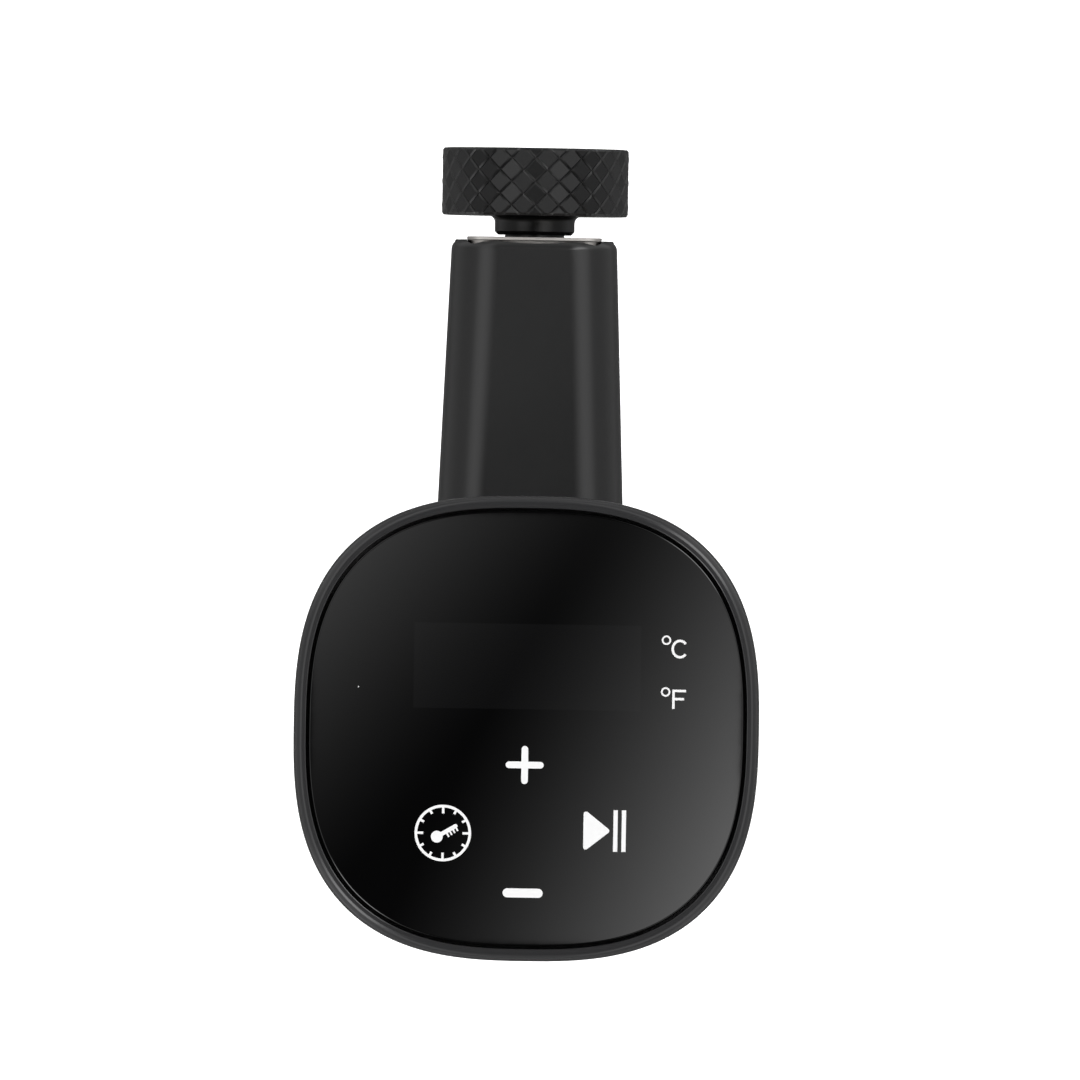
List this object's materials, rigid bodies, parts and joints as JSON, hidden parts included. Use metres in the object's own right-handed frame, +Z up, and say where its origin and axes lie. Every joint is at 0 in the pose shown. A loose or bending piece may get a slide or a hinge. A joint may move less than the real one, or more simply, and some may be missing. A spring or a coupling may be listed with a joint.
{
  "type": "sous vide circulator",
  "caption": "Immersion circulator: rounded-square touch head on a tube with a steel water skirt, pump, heater coil and a screw clamp with a knurled knob.",
  "frame": {"origin": "centre of the foot cap's flat bottom face, on the pump's axis", "axes": "+Z up along the immersion tube to the touch face, +Y towards the clamp and its knob, -Y the user's side, +X to the right of the touch face"},
  "size_m": [0.094, 0.1655, 0.332],
  "materials": {
    "black_glass": "polished, opaque black from behind",
    "gloss_black": "gloss",
    "satin_black": "fine satin",
    "grey_plastic": "satin",
    "knob_black": "satin, diamond knurl",
    "black_rubber": "matt",
    "dark_display": "smooth",
    "white_lamp": "translucent",
    "green_board": "solder mask",
    "blue_case": "moulded",
    "yellow_case": "moulded",
    "green_case": "moulded",
    "brass": "turned",
    "aluminium": "turned",
    "copper_winding": "enamelled copper",
    "zinc_steel": "zinc plated",
    "spring_steel": "sprung, bare",
    "bright_steel": "ground bright",
    "dark_steel": "black oxide",
    "heater_steel": "drawn, slightly heat tinted",
    "skirt_steel": "brushed round",
    "plate_steel": "satin stainless"
  },
  "bodies": {
    "stick": {"touch_glass": "black_glass", "bezel_ring": "gloss_black", "panel_gasket": "black_rubber", "panel_frame": "satin_black", "head_shell": "satin_black", "head_screws": "zinc_steel", "display_board": "green_board", "display_module": "dark_display", "touch_springs": "spring_steel", "icon_leds": "white_lamp", "buzzer": "satin_black", "board_standoffs": "brass", "power_board": "green_board", "power_relay": "blue_case", "mains_capacitors": "yellow_case", "transformer": "yellow_case", "terminal_block": "green_case", "vent_ring": "satin_black", "body_tube": "satin_black", "cord_gland": "black_rubber", "gland_nut": "satin_black", "motor_plate": "aluminium", "motor_plate_screws": "zinc_steel", "motor_screws": "zinc_steel", "motor_housing": "zinc_steel", "motor_stator": "copper_winding", "motor_bearings": "bright_steel", "bulkhead": "grey_plastic", "bulkhead_seal": "black_rubber", "shaft_seal": "black_rubber", "pump_bearing": "bright_steel", "heater_coil": "heater_steel", "heater_terminals": "bright_steel", "temperature_probe": "bright_steel", "level_sensors": "bright_steel", "clamp_bracket": "satin_black", "bracket_screws": "zinc_steel", "jaw_pad": "black_rubber", "end_plate": "plate_steel", "threaded_bush": "brass"},
    "pump_rotor": {"rotor_core": "zinc_steel", "motor_shaft": "bright_steel", "cooling_fan": "grey_plastic", "shaft_coupling": "aluminium", "pump_shaft": "bright_steel", "impeller": "grey_plastic", "impeller_clip": "spring_steel"},
    "skirt_sleeve": {"skirt": "skirt_steel", "skirt_collar": "satin_black"},
    "foot_cover": {"foot_cap": "satin_black"},
    "pressure_foot": {"foot_plate": "satin_black", "foot_pad": "black_rubber", "foot_retainer": "spring_steel"},
    "screw_and_knob": {"clamp_screw": "dark_steel", "clamp_knob": "knob_black", "knob_cap": "gloss_black"}
  },
  "joints": [
    {"name": "pump_spin", "type": "hinge", "parent": "stick", "child": "pump_rotor", "pos_m": [0, 0, 0.161], "axis": [0, 0, 1], "continuous": true},
    {"name": "skirt_slide", "type": "slide", "parent": "stick", "child": "skirt_sleeve", "axis": [0, 0, -1], "range_m": [0, 0.16]},
    {"name": "foot_twist", "type": "hinge", "parent": "skirt_sleeve", "child": "foot_cover", "pos_m": [0, 0, 0], "axis": [0, 0, 1], "range_deg": [0, 25]},
    {"name": "clamp_travel", "type": "slide", "parent": "stick", "child": "pressure_foot", "axis": [0, 1, 0], "range_m": [0, 0.03]},
    {"name": "knob_turn", "type": "hinge", "parent": "pressure_foot", "child": "screw_and_knob", "pos_m": [0, 0.1, 0.187], "axis": [0, 1, 0], "range_deg": [0, 5400]}
  ],
  "couplings": [
    {"joint": "knob_turn", "follows": "clamp_travel", "rad_per_m": 3141.6}
  ]
}
